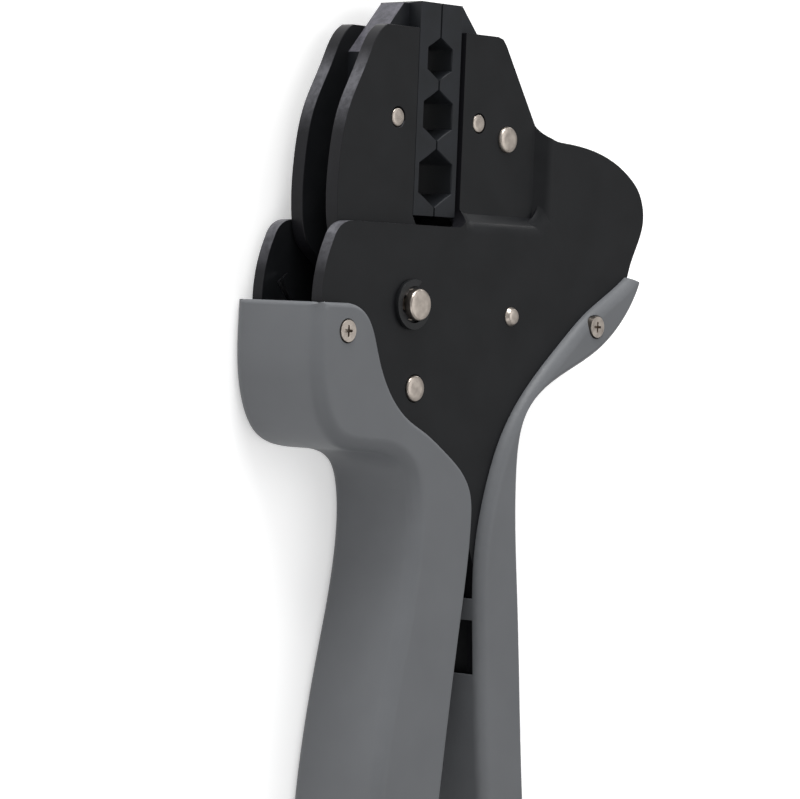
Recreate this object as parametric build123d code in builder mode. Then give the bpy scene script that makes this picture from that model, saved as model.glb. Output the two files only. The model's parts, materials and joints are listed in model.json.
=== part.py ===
"""Coaxial crimping tool: steel frame, hex dies, cam lever, ratchet and moulded grips.

The tool lies on its back. X runs across it, Y runs along it towards the jaws and
Z rises from the surface that it rests on. Outline points are given on the tool's
own middle plane, measured from the theoretical centre beside the handle pivot.
"""

import os
from math import atan2, cos, degrees, hypot, radians, sin

from build123d import *

os.makedirs("parts", exist_ok=True)

# Reach of the lobe, the dies and the grips from the theoretical centre
right_reach = 69.8
jaw_reach = 58.0
heel_reach = -166.0

# Plate stack, each face measured from the middle plane
frame_inner = 6.25
frame_thick = 2.5
frame_outer = frame_inner + frame_thick
joggle_depth = frame_thick
jog_inner = frame_inner - joggle_depth
jaw_inner = 2.9
jaw_thick = 3.0
jaw_outer = jaw_inner + jaw_thick
lever_half = 2.8
joggle_slope = 45.0
joggle_back_slope = 48.0
cheek_clear = 0.35
cheek_wall = 1.9
cheek_inner = frame_outer + cheek_clear
grip_half = cheek_inner + cheek_wall

# Pivots and fasteners on the middle plane
handle_pin = (-2.0, 0.0)
jaw_pin = (-0.1, -16.0)
pawl_pin = (28.3, -1.6)
jaw_rivet = (27.8, 33.0)
fixed_die_screw_at = (19.1, 35.7)
moving_die_screw_at = (-4.6, 35.5)
moving_grip_screw_at = (-22.5, -5.4)
fixed_grip_screw_at = (right_reach - 16.9, -3.0)
tang_rivets_at = [(25.2, -64.0), (26.6, -88.0)]

handle_pin_radius = 3.0
journal_radius = 3.6
eccentric = 0.45
jaw_pin_radius = 2.7
pawl_pin_radius = 1.6
jaw_rivet_radius = 2.0
running_fit = 0.04

# Ears over the jaw and the grip block that turns round them
ear_radius = 25.7
ear_low = 195.0
ear_high = 153.0
ear_clear = 1.0
block_wall = 2.0
ear_room = ear_radius + ear_clear
left_reach = handle_pin[0] - ear_room - block_wall

# Motion, in degrees of the moving handle
handle_open = 24.0
handle_over = 0.6
jaw_ratio = 0.4

# Dies
parting_x = 7.0
parting_gap = 0.4
die_half = 6.2
die_bottom = 17.1
die_top = jaw_reach
die_face = jaw_outer
moving_seat = 0.3
fixed_seat = 1.0
jaw_top = 52.9
moving_jaw_edge = parting_x - die_half - moving_seat
fixed_jaw_edge = parting_x + die_half + fixed_seat
nest_chamfer = 0.45
nests = [(47.3, 3.8), (36.5, 4.6), (24.4, 5.3)]

# Cam and roller
roller_radius = 2.9
roller_half = 2.7
roller_pin_radius = 1.5
roller_reach = 11.0
roller_angle = 50.0
cam_play = 0.04
cam_steps = 8
cam_lead = 2.0
cam_tail = 3.0

# Ratchet
tooth_count = 6
tooth_pitch = 3.6
tooth_tip = 22.0
tooth_root = 20.7
pawl_gap = 0.15
pawl_half = 1.9

lever_axis = (handle_pin[0] - eccentric, handle_pin[1])
centre_x = (left_reach + right_reach) / 2
centre_y = (jaw_reach + heel_reach) / 2
tool = Plane(origin=(-centre_x, -centre_y, grip_half))


def turn(point, about, angle):
    """Turn a point about another one on the middle plane, in degrees."""
    dx, dy = point[0] - about[0], point[1] - about[1]
    c, s = cos(radians(angle)), sin(radians(angle))
    return (about[0] + dx * c - dy * s, about[1] + dx * s + dy * c)


def polar(centre, radius, angle):
    """Return the point at a radius and an angle from a centre."""
    c, s = cos(radians(angle)), sin(radians(angle))
    return (centre[0] + radius * c, centre[1] + radius * s)


def aim(start, end):
    """Return the direction from one point to another, in degrees."""
    return degrees(atan2(end[1] - start[1], end[0] - start[0]))


def disc(centre, radius, low, high):
    """Return a round bar between two heights over the middle plane."""
    with BuildPart() as bar:
        with BuildSketch(tool.offset(low)):
            with Locations(centre):
                Circle(radius)
        extrude(amount=high - low)
    return bar.part


grip_screw_radius = 1.5
lock_screw_radius = 1.2
star_radius = 6.6
star_teeth = 10
lock_head_radius = 2.1
lock_screw_at = polar(handle_pin, star_radius + 1.3, 18.0)
spring_post_at = (49.5, 6.0)

# Frame outline, from the ear over the jaw and the lobe down to the tang
ear_corner = [(-23.4, 13.9), (-18.8, 15.2)]
notch_points = [(11.0, 15.2), (12.6, 15.7), (13.7, 16.8), (fixed_jaw_edge, 18.6)]
jaw_corner = [
    (fixed_jaw_edge, jaw_top), (24.0, jaw_top), (25.6, jaw_top - 0.4), (26.7, jaw_top - 1.6),
    (33.3, 41.2), (36.4, 36.5),
]
lobe_points = [
    (36.4, 36.5), (38.9, 34.0), (43.7, 33.2), (right_reach - 4.9, 27.4),
    (right_reach - 1.6, 24.4), (right_reach, 18.9), (right_reach - 3.7, 9.9),
    (right_reach - 4.6, 7.2), (right_reach - 8.6, -0.6), (right_reach - 14.3, -4.6),
    (34.8, -15.2), (28.9, -25.5), (28.5, -31.6), (29.1, -41.7), (30.0, -57.0), (31.4, -96.0),
]
tang_end = [(31.4, -96.0), (30.6, -99.2), (28.2, -100.4), (25.8, -99.0), (24.6, -95.0)]
tang_points = [(24.6, -95.0), (22.6, -76.0), (21.4, -62.0), (20.4, -52.0), (17.4, -45.0)]
heel_points = [
    (17.4, -45.0), (14.0, -38.6), (9.6, -33.6), (-16.5, -18.0), (-21.6, -13.2), (-25.6, -9.6),
    polar(handle_pin, ear_radius, ear_low),
]


def frame_outline():
    """Return the frame plate's outline as a flat face."""
    with BuildSketch() as outline:
        with BuildLine():
            CenterArc(handle_pin, ear_radius, ear_low, ear_high - ear_low)
            Spline(polar(handle_pin, ear_radius, ear_high), *ear_corner)
            Line(ear_corner[-1], notch_points[0])
            Spline(*notch_points)
            Polyline(notch_points[-1], *jaw_corner)
            Spline(*lobe_points)
            Spline(*tang_end)
            Polyline(*tang_points)
            Spline(*heel_points)
        make_face()
    return outline.sketch_local


jog_left = 13.0
jog_right = 36.5
jog_bottom = 18.0
jog_top = 60.0
jog_corner = 3.5
jog_bend = 1.04


def jog_zone(grow):
    """Return the sunk area over the fixed jaw, grown by a margin."""
    wide = jog_right - jog_left + 2 * grow
    tall = jog_top - jog_bottom + 2 * grow
    with BuildSketch() as zone:
        with Locations(((jog_left + jog_right) / 2, (jog_bottom + jog_top) / 2)):
            RectangleRounded(wide, tall, jog_corner + grow)
    return zone.sketch_local


def frame_plate():
    """Build the front frame plate with its joggle and holes."""
    with BuildPart() as plate:
        with BuildSketch(tool.offset(jog_inner)):
            add(jog_zone(jog_bend))
        extrude(amount=joggle_depth, taper=-joggle_back_slope)
        with BuildSketch(tool.offset(jog_inner)):
            add(frame_outline())
        extrude(amount=joggle_depth, mode=Mode.INTERSECT)
        with BuildSketch(tool.offset(frame_inner)):
            add(frame_outline())
        extrude(amount=frame_thick)
        with BuildSketch(tool.offset(frame_inner)):
            add(jog_zone(0))
        extrude(amount=frame_thick, taper=-joggle_slope, mode=Mode.SUBTRACT)
        with BuildSketch(tool.offset(jog_inner)):
            with Locations(handle_pin):
                Circle(handle_pin_radius)
            with Locations(jaw_pin):
                Circle(jaw_pin_radius)
            with Locations(pawl_pin):
                Circle(pawl_pin_radius)
            with Locations(jaw_rivet, fixed_die_screw_at):
                Circle(jaw_rivet_radius)
            with Locations(fixed_grip_screw_at, *tang_rivets_at):
                Circle(grip_screw_radius)
        extrude(amount=joggle_depth + frame_thick, mode=Mode.SUBTRACT)
    return plate.part


with BuildPart() as front_frame_plate:
    add(frame_plate())
with BuildPart() as back_frame_plate:
    add(mirror(frame_plate(), about=tool))
    add(disc(lock_screw_at, lock_screw_radius, -frame_outer, -frame_inner), mode=Mode.SUBTRACT)

# Moving jaw plates
jaw_outline_points = [(moving_jaw_edge, 17.0), (moving_jaw_edge, jaw_top), (-8.6, jaw_top)]
jaw_back_points = [
    (-8.6, jaw_top), (-9.9, 52.1), (-14.2, 45.4), (-18.8, 36.4), (-20.8, 27.2), (-21.0, 16.8),
    (-19.2, 10.8), (-14.4, 6.8), (-11.4, 2.4), (-8.0, -8.0), (-6.1, -15.0),
]
jaw_heel_points = [(-6.1, -15.0), (-5.2, -19.1), (-0.1, -22.0), (5.0, -19.1), (6.0, -15.0)]
jaw_front_points = [(6.0, -15.0), (8.6, -6.0), (9.4, 4.0), (9.0, 11.6), (7.2, 14.0), (2.4, 14.4)]
slot_margin = 0.35
roller_at = polar(lever_axis, roller_reach, roller_angle)


def jaw_plate():
    """Build the front moving jaw plate."""
    reach = hypot(handle_pin[0] - jaw_pin[0], handle_pin[1] - jaw_pin[1])
    start = aim(jaw_pin, handle_pin) - jaw_ratio * handle_open
    span = jaw_ratio * (handle_open + handle_over)
    with BuildPart() as plate:
        with BuildSketch(tool.offset(jaw_inner)):
            with BuildLine():
                Polyline(jaw_front_points[-1], *jaw_outline_points)
                Spline(*jaw_back_points)
                Spline(*jaw_heel_points)
                Spline(*jaw_front_points)
            make_face()
        extrude(amount=jaw_thick)
        with BuildSketch(tool.offset(jaw_inner)):
            with Locations(jaw_pin):
                Circle(jaw_pin_radius + running_fit)
            with Locations(moving_die_screw_at):
                Circle(jaw_rivet_radius)
            with Locations(roller_at):
                Circle(roller_pin_radius)
        extrude(amount=jaw_thick, mode=Mode.SUBTRACT)
        with BuildSketch(tool.offset(jaw_inner)):
            with BuildLine(mode=Mode.PRIVATE):
                track = CenterArc(jaw_pin, reach, start, span)
            SlotArc(track, 2 * (handle_pin_radius + slot_margin))
        extrude(amount=jaw_thick, mode=Mode.SUBTRACT)
    return plate.part


with BuildPart() as moving_jaw_front_plate:
    add(jaw_plate())
with BuildPart() as moving_jaw_back_plate:
    add(mirror(jaw_plate(), about=tool))

# Hex dies: a proud face block and a thinner tang between the jaw plates
tang_slant = [(-0.8, die_top - 0.4), (-9.8, 47.6), (-9.8, 22.0), (-5.0, die_bottom + 0.2)]


def die(side, tang_half):
    """Build the die left (-1) or right (1) of the parting line."""
    near = parting_x + side * parting_gap / 2
    far = parting_x + side * die_half
    slant = [(x, y) if side < 0 else (2 * parting_x - x, y) for x, y in tang_slant]
    with BuildPart() as block:
        with BuildSketch(tool.offset(-tang_half)):
            with BuildLine():
                Polyline((near, die_bottom), (near, die_top), *slant, (near, die_bottom))
            make_face()
        extrude(amount=2 * tang_half)
        with BuildSketch(tool.offset(-die_face)):
            with BuildLine():
                Polyline((near, die_bottom), (near, die_top), (far, die_top),
                         (far, die_bottom), (near, die_bottom))
            make_face()
        extrude(amount=2 * die_face)
        with BuildSketch(tool.offset(-die_face)):
            for y, radius in nests:
                with Locations((parting_x, y)):
                    RegularPolygon(radius, 6, rotation=90)
            with Locations(fixed_die_screw_at, moving_die_screw_at):
                Circle(jaw_rivet_radius)
        extrude(amount=2 * die_face, mode=Mode.SUBTRACT)
        for face in (-1, 1):
            with BuildSketch(tool.offset(face * die_face)):
                for y, radius in nests:
                    with Locations((parting_x, y)):
                        RegularPolygon(radius + nest_chamfer, 6, rotation=90)
            extrude(amount=-face * nest_chamfer, taper=45, mode=Mode.SUBTRACT)
    return block.part


with BuildPart() as moving_die:
    add(die(-1, jaw_inner))
with BuildPart() as fixed_die:
    add(die(1, jog_inner))

# Die screws, heads on the back
die_head_radius = 3.6
die_head_tall = 2.4
die_socket = 1.3


def die_screw(at, face):
    """Build a button screw whose threaded end stands flush with the front plate."""
    with BuildPart() as screw:
        add(disc(at, jaw_rivet_radius, -face, face - 0.3))
        with BuildSketch(tool.offset(face - 0.3)):
            with Locations(at):
                Circle(jaw_rivet_radius)
        extrude(amount=0.3, taper=30)
        with BuildSketch(tool.offset(-face)):
            with Locations(at):
                Circle(die_head_radius)
        extrude(amount=-die_head_tall, taper=12)
        with BuildSketch(tool.offset(-face - die_head_tall)):
            with Locations(at):
                RegularPolygon(die_socket, 6)
        extrude(amount=die_head_tall * 0.6, mode=Mode.SUBTRACT)
    return screw.part


with BuildPart() as moving_die_screw:
    add(die_screw(moving_die_screw_at, jaw_outer))
with BuildPart() as fixed_die_screw:
    add(die_screw(fixed_die_screw_at, frame_inner))


def headed_pin(at, shank, shank_half, head, head_tall, dome):
    """Build a pin with the same head on both ends."""
    with BuildPart() as pin:
        add(disc(at, shank, -shank_half, shank_half))
        for face in (-1, 1):
            with BuildSketch(tool.offset(face * shank_half)):
                with Locations(at):
                    Circle(head)
            extrude(amount=face * head_tall, taper=dome)
    return pin.part


# Jaw pivot pin, fixed-jaw rivet with its spacer, and the pawl pin
with BuildPart() as jaw_pivot_pin:
    add(headed_pin(jaw_pin, jaw_pin_radius, frame_outer, jaw_pin_radius, 0.45, 25))
with BuildPart() as fixed_jaw_rivet:
    add(headed_pin(jaw_rivet, jaw_rivet_radius, frame_inner, 2.8, 0.7, 20))
jaw_spacer_radius = 3.8
with BuildPart() as fixed_jaw_spacer:
    add(disc(jaw_rivet, jaw_spacer_radius, -jog_inner, jog_inner))
    add(disc(jaw_rivet, jaw_rivet_radius, -jog_inner, jog_inner), mode=Mode.SUBTRACT)
with BuildPart() as pawl_pivot_pin:
    add(headed_pin(pawl_pin, pawl_pin_radius, frame_outer, 2.1, 0.8, 35))
with BuildPart() as pawl_spacers:
    for low, high in ((-frame_inner, -pawl_half - running_fit), (pawl_half + running_fit, frame_inner)):
        add(disc(pawl_pin, 3.0, low, high))
        add(disc(pawl_pin, pawl_pin_radius, low, high), mode=Mode.SUBTRACT)

# Eccentric handle shaft: end journals in the frame, a larger one under the lever
clip_seat = 0.9
groove_radius = 2.3
shaft_front = 11.3
shaft_back = 10.6
star_flat = 2.1
with BuildPart() as handle_shaft:
    add(disc(handle_pin, handle_pin_radius, -frame_outer, frame_outer))
    add(disc(handle_pin, groove_radius, frame_outer, frame_outer + clip_seat))
    add(disc(handle_pin, handle_pin_radius, frame_outer + clip_seat, shaft_front - 0.3))
    with BuildSketch(tool.offset(shaft_front - 0.3)):
        with Locations(handle_pin):
            Circle(handle_pin_radius)
    extrude(amount=0.3, taper=40)
    with BuildSketch(tool.offset(-frame_outer)):
        with Locations(handle_pin):
            Rectangle(2 * star_flat, 2 * star_flat)
    extrude(amount=frame_outer - shaft_back)
    add(disc(lever_axis, journal_radius, -lever_half, lever_half))

# Retaining clip on the shaft's groove
clip_radius = 4.8
clip_open = 45.0
with BuildPart() as retaining_clip:
    with BuildSketch(tool.offset(frame_outer)):
        with Locations(handle_pin):
            Circle(clip_radius)
            Circle(clip_radius - 1.3, mode=Mode.SUBTRACT)
            for spread in (90.0, 180.0, 270.0):
                with PolarLocations(2.9, 1, start_angle=clip_open + spread):
                    Rectangle(1.2, 1.5)
            with PolarLocations(clip_radius, 1, start_angle=clip_open):
                Rectangle(2 * clip_radius - 2, 3.6, mode=Mode.SUBTRACT)
    extrude(amount=clip_seat)

# Star wheel that turns the eccentric, and the screw that locks it
star_thick = 1.7
with BuildPart() as star_wheel:
    with BuildSketch(tool.offset(-frame_outer)):
        with Locations(handle_pin):
            Circle(star_radius)
            with PolarLocations(star_radius + 1.3, star_teeth, start_angle=18.0):
                Circle(lock_head_radius + 0.12, mode=Mode.SUBTRACT)
            Rectangle(2 * star_flat, 2 * star_flat, mode=Mode.SUBTRACT)
    extrude(amount=-star_thick)
with BuildPart() as star_lock_screw:
    add(disc(lock_screw_at, lock_screw_radius, -frame_outer, -jaw_outer - 0.35))
    add(disc(lock_screw_at, lock_head_radius, -frame_outer - star_thick, -frame_outer))
    with BuildSketch(tool.offset(-frame_outer - star_thick)):
        with Locations(lock_screw_at):
            Rectangle(2 * lock_head_radius, 0.7)
    extrude(amount=0.7, mode=Mode.SUBTRACT)


def roller_centre(handle_angle):
    """Return the roller's centre as seen from the lever at a handle angle."""
    in_tool = turn(roller_at, jaw_pin, -jaw_ratio * handle_angle)
    return turn(in_tool, lever_axis, -handle_angle)


def cam_point(handle_angle):
    """Return the cam surface point that touches the roller at a handle angle."""
    x0, y0 = roller_centre(handle_angle - 0.25)
    x1, y1 = roller_centre(handle_angle + 0.25)
    length = hypot(x1 - x0, y1 - y0)
    normal = ((y1 - y0) / length, -(x1 - x0) / length)
    x, y = roller_centre(handle_angle)
    if normal[0] * (lever_axis[0] - x) + normal[1] * (lever_axis[1] - y) < 0:
        normal = (-normal[0], -normal[1])
    reach = roller_radius + cam_play
    return (x + normal[0] * reach, y + normal[1] * reach)


# Cam lever with its ratchet sector and the tang that carries the grip
pawl_aim = aim(lever_axis, pawl_pin)
sector_points = [polar(lever_axis, 18.6, pawl_aim - 8), polar(lever_axis, 19.6, pawl_aim + 0.8)]
for tooth in range(tooth_count):
    middle = pawl_aim + 3.4 + tooth * tooth_pitch
    sector_points.append(polar(lever_axis, tooth_root, middle - tooth_pitch / 2))
    sector_points.append(polar(lever_axis, tooth_tip, middle))
sector_points.append(polar(lever_axis, tooth_root, middle + tooth_pitch / 2))
sector_points.append(polar(lever_axis, 12.0, 23.0))
cam_stride = (cam_lead + handle_open + cam_tail) / (cam_steps - 1)
cam_points = [cam_point(cam_lead - step * cam_stride) for step in range(cam_steps)]
lever_left = [
    polar(lever_axis, 7.4, 140.0), polar(lever_axis, 8.4, 165.0), (-13.6, -4.0), (-16.2, -12.0),
    (-14.8, -19.6), (-10.0, -25.0), (-2.4, -29.2), (1.2, -35.0), (1.2, -44.0), (-1.2, -62.0),
    (-5.2, -91.0),
]
lever_right = [
    (-3.0, -94.6), (0.6, -94.6), (3.2, -91.0), (7.2, -62.0), (9.4, -44.0), (8.6, -36.4),
    (3.2, -29.6), (-4.2, -24.6), (-8.2, -19.6), (-8.2, -13.6), (-5.2, -10.0), (0.0, -9.2), (6.0, -6.8),
]


def lever_solid():
    """Return the lever's full shape, without its bore."""
    with BuildPart() as solid:
        with BuildSketch(tool.offset(-lever_half)):
            with BuildLine():
                Polyline(*sector_points, cam_points[0])
                Spline(*cam_points)
                Polyline(cam_points[-1], lever_left[0])
                Spline(*lever_left)
                Polyline(lever_left[-1], *lever_right[:3])
                Spline(*lever_right[2:])
                Line(lever_right[-1], sector_points[0])
            make_face()
        extrude(amount=2 * lever_half)
    return solid.part


with BuildPart() as cam_lever:
    add(lever_solid())
    add(disc(lever_axis, journal_radius + running_fit, -lever_half, lever_half), mode=Mode.SUBTRACT)

# Roller on its pin between the moving jaw plates
with BuildPart() as cam_roller:
    add(disc(roller_at, roller_radius, -roller_half, roller_half))
    bore = roller_pin_radius + running_fit
    add(disc(roller_at, bore, -roller_half, roller_half), mode=Mode.SUBTRACT)
with BuildPart() as roller_pin:
    add(disc(roller_at, roller_pin_radius, -jaw_outer, jaw_outer))

# Ratchet pawl, its spring and the post that anchors the spring
pawl_reach = hypot(pawl_pin[0] - lever_axis[0], pawl_pin[1] - lever_axis[1]) - tooth_tip - pawl_gap
tail_reach = 7.0
spring_hold = 1.2
spring_tail = polar(pawl_pin, tail_reach, pawl_aim)
with BuildPart() as ratchet_pawl:
    with BuildSketch(tool.offset(-pawl_half)):
        with BuildLine():
            Polyline(
                polar(pawl_pin, pawl_reach, pawl_aim + 180),
                polar(pawl_pin, pawl_reach - 1.6, pawl_aim + 170),
                polar(pawl_pin, 3.2, pawl_aim + 120),
                polar(pawl_pin, 3.2, pawl_aim + 60),
                polar(pawl_pin, tail_reach + 1.4, pawl_aim + 10),
                polar(pawl_pin, tail_reach + 1.4, pawl_aim - 10),
                polar(pawl_pin, 3.2, pawl_aim - 60),
                polar(pawl_pin, 3.2, pawl_aim - 120),
                polar(pawl_pin, pawl_reach - 1.6, pawl_aim + 190),
                polar(pawl_pin, pawl_reach, pawl_aim + 180),
            )
        make_face()
        with Locations(pawl_pin):
            Circle(pawl_pin_radius + running_fit, mode=Mode.SUBTRACT)
    extrude(amount=2 * pawl_half)
    add(disc(spring_tail, spring_hold, pawl_half, pawl_half + 1.6))
with BuildPart() as spring_post:
    add(disc(spring_post_at, spring_hold, -frame_inner, frame_inner))

spring_wire = 0.35
wire_sides = 6
spring_coil = 1.6
spring_pitch = 1.9
spring_height = 2.5
spring_aim = aim(spring_tail, spring_post_at)
coil_start = polar(spring_tail, 2.4, spring_aim)
coil_end = polar(spring_post_at, 2.4, spring_aim + 180)
coil_length = hypot(coil_end[0] - coil_start[0], coil_end[1] - coil_start[1])


def spot(point, height):
    """Return a point of the middle plane raised to a height, in the part's space."""
    return tool.from_local_coords((point[0], point[1], height))


def wire(path, radius):
    """Return a round wire that follows a path."""
    with BuildPart() as rod:
        with BuildLine():
            add(path)
        with BuildSketch(Plane(origin=path @ 0, z_dir=path % 0)):
            RegularPolygon(radius, wire_sides)
        sweep(is_frenet=True)
    return rod.part


along = (cos(radians(spring_aim)), sin(radians(spring_aim)), 0)
pawl_coil = Helix(spring_pitch, coil_length, spring_coil, spot(coil_start, spring_height), along)
with BuildPart() as pawl_spring:
    add(wire(pawl_coil, spring_wire))
    for at, end in ((spring_tail, pawl_coil @ 0), (spring_post_at, pawl_coil @ 1)):
        hook = spring_hold + spring_wire + 0.05
        with BuildSketch(tool.offset(spring_height - spring_wire)):
            with Locations(at):
                Circle(hook + spring_wire)
                Circle(hook - spring_wire, mode=Mode.SUBTRACT)
        extrude(amount=2 * spring_wire)
        side = spring_aim if at == spring_tail else spring_aim + 180
        add(wire(Line(spot(polar(at, hook, side), spring_height), end), spring_wire))

# Opening spring: coils on the jaw pin, one leg on the lever, one hooked on the ears
open_wire = 0.5
open_coil = 3.5
leg_height = -4.4
leg_end = (-26.6, 3.2)
leg_tip = (-28.0, 4.8)
push_end = (-6.0, -12.8)


coil_low = -2.1
coil_pitch = 1.18
coil_turns = 3.5
coil_base = Plane(origin=spot(jaw_pin, coil_low), x_dir=(0, -1, 0), z_dir=(0, 0, 1))
jaw_coil = coil_base * Helix(coil_pitch, coil_pitch * coil_turns, open_coil)
leg_turn = (-7.3, -19.5)
with BuildPart() as opening_spring:
    add(wire(jaw_coil, open_wire))
    leg = [
        jaw_coil @ 0, spot(leg_turn, coil_low), spot((leg_turn[0], leg_turn[1] + 1.0), leg_height),
        spot(leg_end, leg_height), spot(leg_tip, leg_height - 0.9),
    ]
    for start, end in zip(leg, leg[1:]):
        add(wire(Line(start, end), open_wire))
    add(wire(Line(jaw_coil @ 1, spot(push_end, coil_low + coil_turns * coil_pitch)), open_wire))

# Spacer and rivets inside the frame's tang
with BuildPart() as tang_spacer:
    with BuildSketch(tool.offset(-frame_inner)):
        with BuildLine():
            Polyline((22.6, -58.0), (23.4, -68.0), (25.8, -94.0), (28.8, -94.0),
                     (28.6, -75.0), (28.0, -58.0), (22.6, -58.0))
        make_face()
        with Locations(*tang_rivets_at):
            Circle(grip_screw_radius, mode=Mode.SUBTRACT)
    extrude(amount=2 * frame_inner)
with BuildPart() as tang_rivets:
    for at in tang_rivets_at:
        add(disc(at, grip_screw_radius, -frame_outer, frame_outer))

# Moulded grips: each side's curve runs on past the other one, with its own rounding
grip_top = -0.2
moving_inner = [
    (-21.7, grip_top), (-15.5, -3.6), (-12.8, -9.9), (-8.6, -17.4), (-3.3, -21.9), (1.8, -24.4),
    (8.1, -28.2), (12.9, -31.8), (15.9, -36.4), (16.4, -41.5), (14.4, -60.5), (10.1, -94.9),
    (7.2, -126.0), (6.0, heel_reach + 14.0), (4.6, heel_reach - 19.0),
]
moving_outer = [
    (left_reach + 0.1, grip_top), (left_reach, -6.0), (left_reach + 1.1, -17.2),
    (left_reach + 6.1, -25.8), (-14.0, -28.1), (-7.4, -28.9), (-3.2, -31.2), (-0.9, -37.0),
    (-0.6, -45.0), (-4.9, -69.0), (-9.3, -95.7), (-11.4, -124.0), (-12.2, heel_reach + 14.0),
    (-3.0, heel_reach + 1.2), (7.6, heel_reach + 16.0),
]
fixed_inner = [
    (right_reach - 5.6, 7.3), (right_reach - 10.6, 4.1), (51.4, -0.5), (44.4, -6.0),
    (34.2, -15.0), (26.9, -24.2), (22.1, -35.8), (19.7, -48.0), (20.0, -62.0), (23.1, -95.0),
    (26.3, -128.0), (29.0, heel_reach + 11.0), (36.2, heel_reach + 0.4),
    (44.6, heel_reach + 14.0),
]
fixed_outer = [
    (right_reach - 2.5, 6.2), (right_reach - 7.2, -1.0), (right_reach - 14.6, -7.2),
    (42.0, -13.4), (32.1, -21.0), (29.9, -32.6), (31.9, -57.3), (36.0, -96.9), (40.1, -126.0),
    (43.0, heel_reach + 16.0), (47.6, heel_reach - 19.0),
]
lip_round = 1.0
palm_round = 3.0
channel_round = 2.4
back_round = 1.2
beyond = 100.0
horn_slope = (fixed_inner[0][1] - fixed_outer[0][1]) / (fixed_outer[0][0] - fixed_inner[0][0])
moving_room = [
    (-20.0, 2.0), (-16.0, -21.5), (-2.0, -27.6), (8.6, -34.0), (13.0, -40.5),
    (17.5, -47.0), (40.0, -47.0), (40.0, 20.0),
]
grip_windows = [(-56.8, -43.0), (-71.7, -61.0)]
screw_head_radius = 2.35
screw_head_tall = 1.3
short_shank = 1.3


def grip_side(points, corners, radius):
    """Build a grip blank that is rounded along one curved side only."""
    with BuildPart() as blank:
        with BuildSketch(tool.offset(-grip_half)):
            with BuildLine():
                Spline(*points)
                Polyline(points[-1], *corners, points[0])
            make_face()
        extrude(amount=2 * grip_half)
        fillet(edges().filter_by(GeomType.BSPLINE), radius)
    return blank.part


with BuildPart() as moving_grip:
    palm_corners = [(beyond, moving_outer[-1][1]), (beyond, grip_top)]
    lip_corners = [(-beyond, moving_inner[-1][1]), (-beyond, grip_top)]
    add(grip_side(moving_outer, palm_corners, palm_round))
    add(grip_side(moving_inner, lip_corners, lip_round), mode=Mode.INTERSECT)
    with BuildSketch(tool.offset(-cheek_inner)):
        with Locations(handle_pin):
            Circle(ear_room)
        with BuildLine():
            Polyline(*moving_room, moving_room[0])
        make_face()
    extrude(amount=2 * cheek_inner, mode=Mode.SUBTRACT)
    add(lever_solid(), mode=Mode.SUBTRACT)
    for face in (-1, 1):
        with BuildSketch(tool.offset(face * grip_half)):
            with Locations(moving_grip_screw_at):
                Circle(screw_head_radius)
        extrude(amount=-face * screw_head_tall, mode=Mode.SUBTRACT)
        with BuildSketch(tool.offset(face * grip_half)):
            with Locations(moving_grip_screw_at):
                Circle(short_shank)
        extrude(amount=face * (cheek_inner - grip_half), mode=Mode.SUBTRACT)

# Fixed grip: a channel that wraps the frame's heel, open towards the other handle
with BuildPart() as fixed_grip:
    channel_top = fixed_inner[0][1] - horn_slope * (beyond - fixed_inner[0][0])
    back_top = fixed_outer[0][1] + horn_slope * (beyond + fixed_outer[0][0])
    channel_corners = [(beyond, fixed_inner[-1][1]), (beyond, channel_top)]
    back_corners = [(-beyond, fixed_outer[-1][1]), (-beyond, back_top)]
    add(grip_side(fixed_inner, channel_corners, channel_round))
    add(grip_side(fixed_outer, back_corners, back_round), mode=Mode.INTERSECT)
    with BuildSketch(tool.offset(-frame_outer)):
        add(frame_outline())
        for low, high in grip_windows:
            with BuildLine():
                Polyline((14.0, low), (24.0, low), (24.0, high), (14.0, high), (14.0, low))
            make_face()
    extrude(amount=2 * frame_outer, mode=Mode.SUBTRACT)
    with BuildSketch(tool.offset(-grip_half)):
        with Locations(fixed_grip_screw_at):
            Circle(screw_head_radius)
    extrude(amount=2 * grip_half, mode=Mode.SUBTRACT)

# Grip screws: a through screw with a sleeve nut, and two short ones in the cheeks
socket_wide = 0.5
socket_long = 2.4
socket_deep = 0.9
grip_spacer_radius = 2.3


def cross_socket(at, face):
    """Return the cross cut in a screw head at a height over the middle plane."""
    with BuildPart() as cut:
        with BuildSketch(tool.offset(face)):
            with Locations(at):
                Rectangle(socket_long, socket_wide)
                Rectangle(socket_wide, socket_long)
        extrude(amount=-socket_deep if face > 0 else socket_deep)
    return cut.part


with BuildPart() as moving_grip_screws:
    for face in (-1, 1):
        with BuildSketch(tool.offset(face * grip_half)):
            with Locations(moving_grip_screw_at):
                Circle(screw_head_radius)
        extrude(amount=-face * screw_head_tall)
        with BuildSketch(tool.offset(face * grip_half)):
            with Locations(moving_grip_screw_at):
                Circle(short_shank)
        extrude(amount=face * (cheek_inner - grip_half))
        add(cross_socket(moving_grip_screw_at, face * grip_half), mode=Mode.SUBTRACT)
with BuildPart() as fixed_grip_screw:
    add(disc(fixed_grip_screw_at, screw_head_radius, frame_outer, grip_half))
    add(disc(fixed_grip_screw_at, grip_screw_radius, -frame_outer, frame_outer))
    add(cross_socket(fixed_grip_screw_at, grip_half), mode=Mode.SUBTRACT)
with BuildPart() as fixed_grip_nut:
    add(disc(fixed_grip_screw_at, screw_head_radius, -grip_half, -frame_outer))
    add(cross_socket(fixed_grip_screw_at, -grip_half), mode=Mode.SUBTRACT)
with BuildPart() as grip_screw_spacer:
    add(disc(fixed_grip_screw_at, grip_spacer_radius, -frame_inner, frame_inner))
    add(disc(fixed_grip_screw_at, grip_screw_radius, -frame_inner, frame_inner), mode=Mode.SUBTRACT)

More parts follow.
